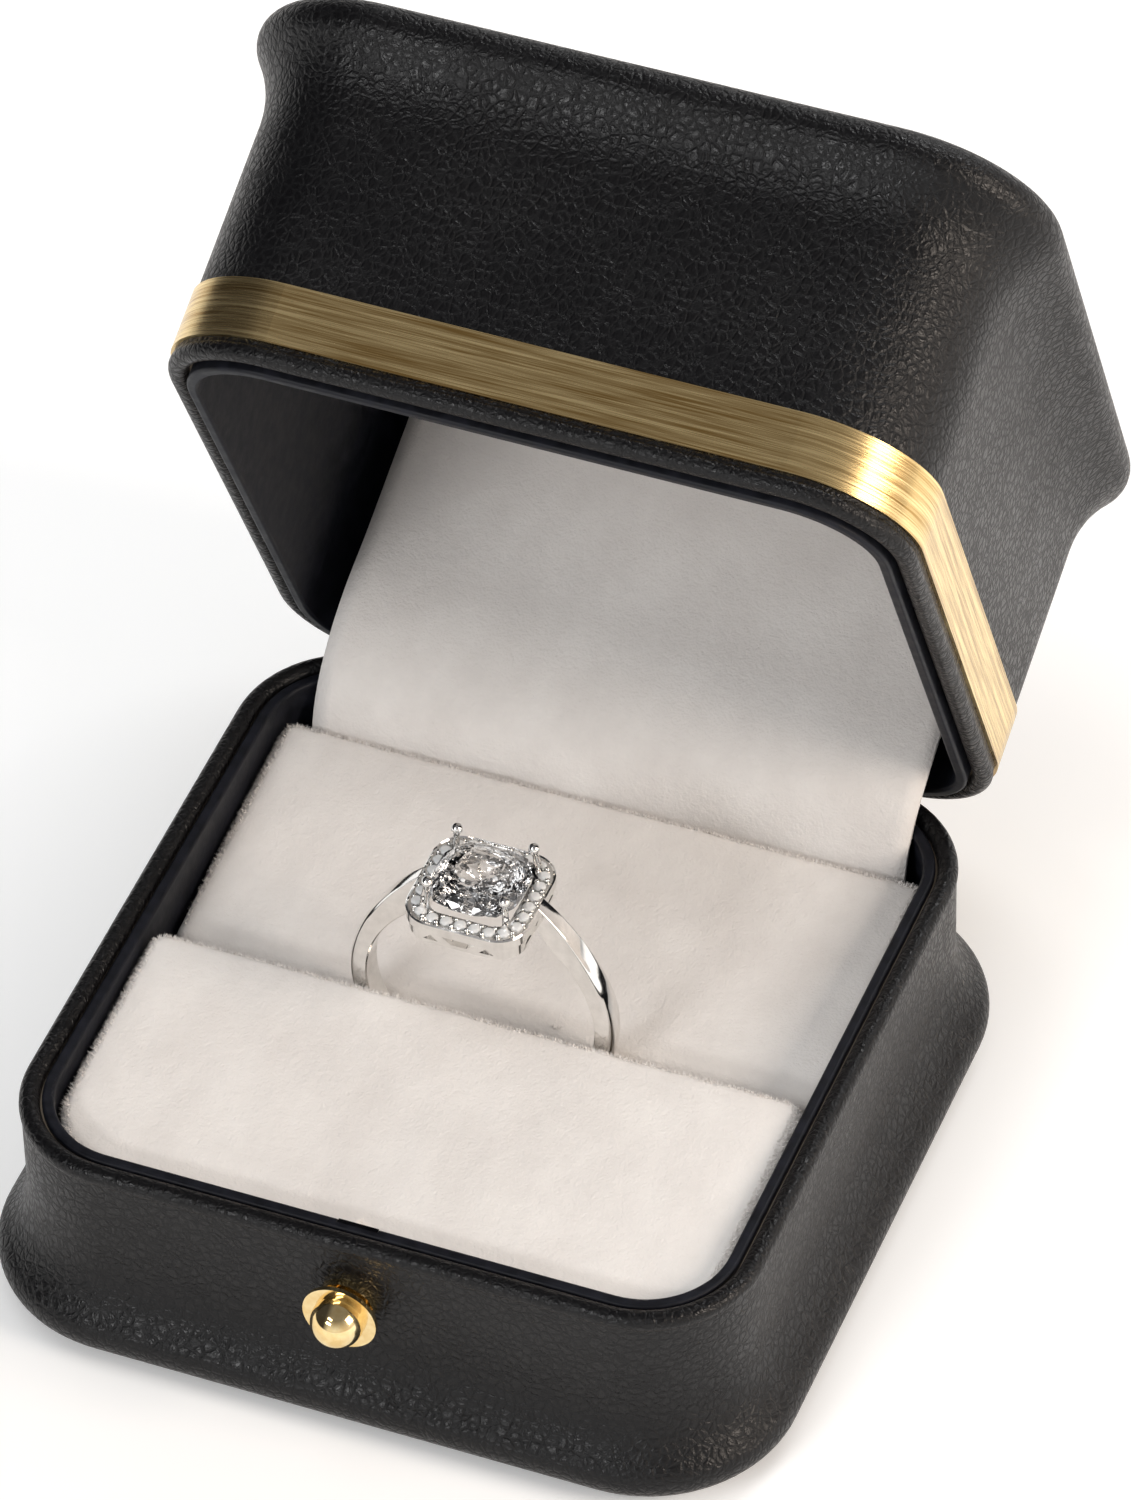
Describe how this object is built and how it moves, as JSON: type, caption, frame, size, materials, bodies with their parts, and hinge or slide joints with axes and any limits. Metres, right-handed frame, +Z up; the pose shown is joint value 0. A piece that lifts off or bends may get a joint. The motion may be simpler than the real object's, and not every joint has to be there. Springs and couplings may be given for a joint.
{
  "type": "ring display box",
  "caption": "Square leather-covered ring box with a sprung hinged lid, gold band, push button and a slotted velvet pad holding a ring.",
  "frame": {"origin": "centre of the underside, in the plane the box stands on", "axes": "+Z up; -Y towards the front wall with the button; +Y towards the hinge; +X to the right as seen from the front"},
  "size_m": [0.0598, 0.0873, 0.0765],
  "materials": {
    "shell_board": "matt pressed board",
    "leather_cover": "black pebbled leather",
    "lining_collar": "satin, blue-black",
    "base_felt": "pressed felt",
    "velvet": "off-white velvet, short pile",
    "foam": "open foam",
    "hinge_brass": "plain stamped",
    "spring_steel": "drawn wire",
    "gold_trim": "gold plated, brushed",
    "magnet": "nickel plated",
    "white_gold": "polished",
    "clear_stone": "faceted, clear"
  },
  "bodies": {
    "base": {"base_shell": "shell_board", "base_cover": "leather_cover", "base_liner": "lining_collar", "bottom_felt": "base_felt", "pad_platform": "shell_board", "pad_front": "velvet", "pad_rear": "velvet", "hinge_flap": "velvet", "base_hinge_leaf": "hinge_brass", "base_rivets": "hinge_brass", "hinge_pin": "spring_steel", "hinge_spring": "spring_steel", "base_magnet": "magnet", "button_bushing": "gold_trim", "button_spring": "spring_steel"},
    "button": {"button_knob": "gold_trim", "lift_wedge": "spring_steel"},
    "pusher": {"lid_pusher": "spring_steel"},
    "lid": {"lid_shell": "shell_board", "lid_cover": "leather_cover", "lid_liner": "lining_collar", "gold_band": "gold_trim", "lid_foam": "foam", "lid_lining": "velvet", "lid_hinge_leaf": "hinge_brass", "lid_rivets": "hinge_brass", "lid_magnet": "magnet"},
    "ring": {"ring_shank": "white_gold", "ring_gallery": "white_gold", "ring_halo": "white_gold", "halo_stones": "clear_stone", "centre_stone": "clear_stone"}
  },
  "joints": [
    {"name": "lid_hinge", "type": "hinge", "parent": "base", "child": "lid", "pos_m": [0, 0.025, 0.0138], "axis": [1, 0, 0], "range_deg": [0, 65.6], "stiffness_Nm_per_rad": 0.004, "springref_deg": -51.57},
    {"name": "button_press", "type": "slide", "parent": "base", "child": "button", "axis": [0, 1, 0], "range_m": [0, 0.0008], "stiffness_N_per_m": 600, "springref_m": -0.001, "deforming": ["button_spring"]},
    {"name": "pusher_lift", "type": "slide", "parent": "base", "child": "pusher", "axis": [0, 0, 1], "range_m": [0, 0.0012]},
    {"name": "ring_lift", "type": "slide", "parent": "base", "child": "ring", "axis": [0, 0, 1], "range_m": [0, 0.008]}
  ],
  "couplings": [
    {"joint": "pusher_lift", "follows": "button_press", "ratio": 1.5}
  ]
}
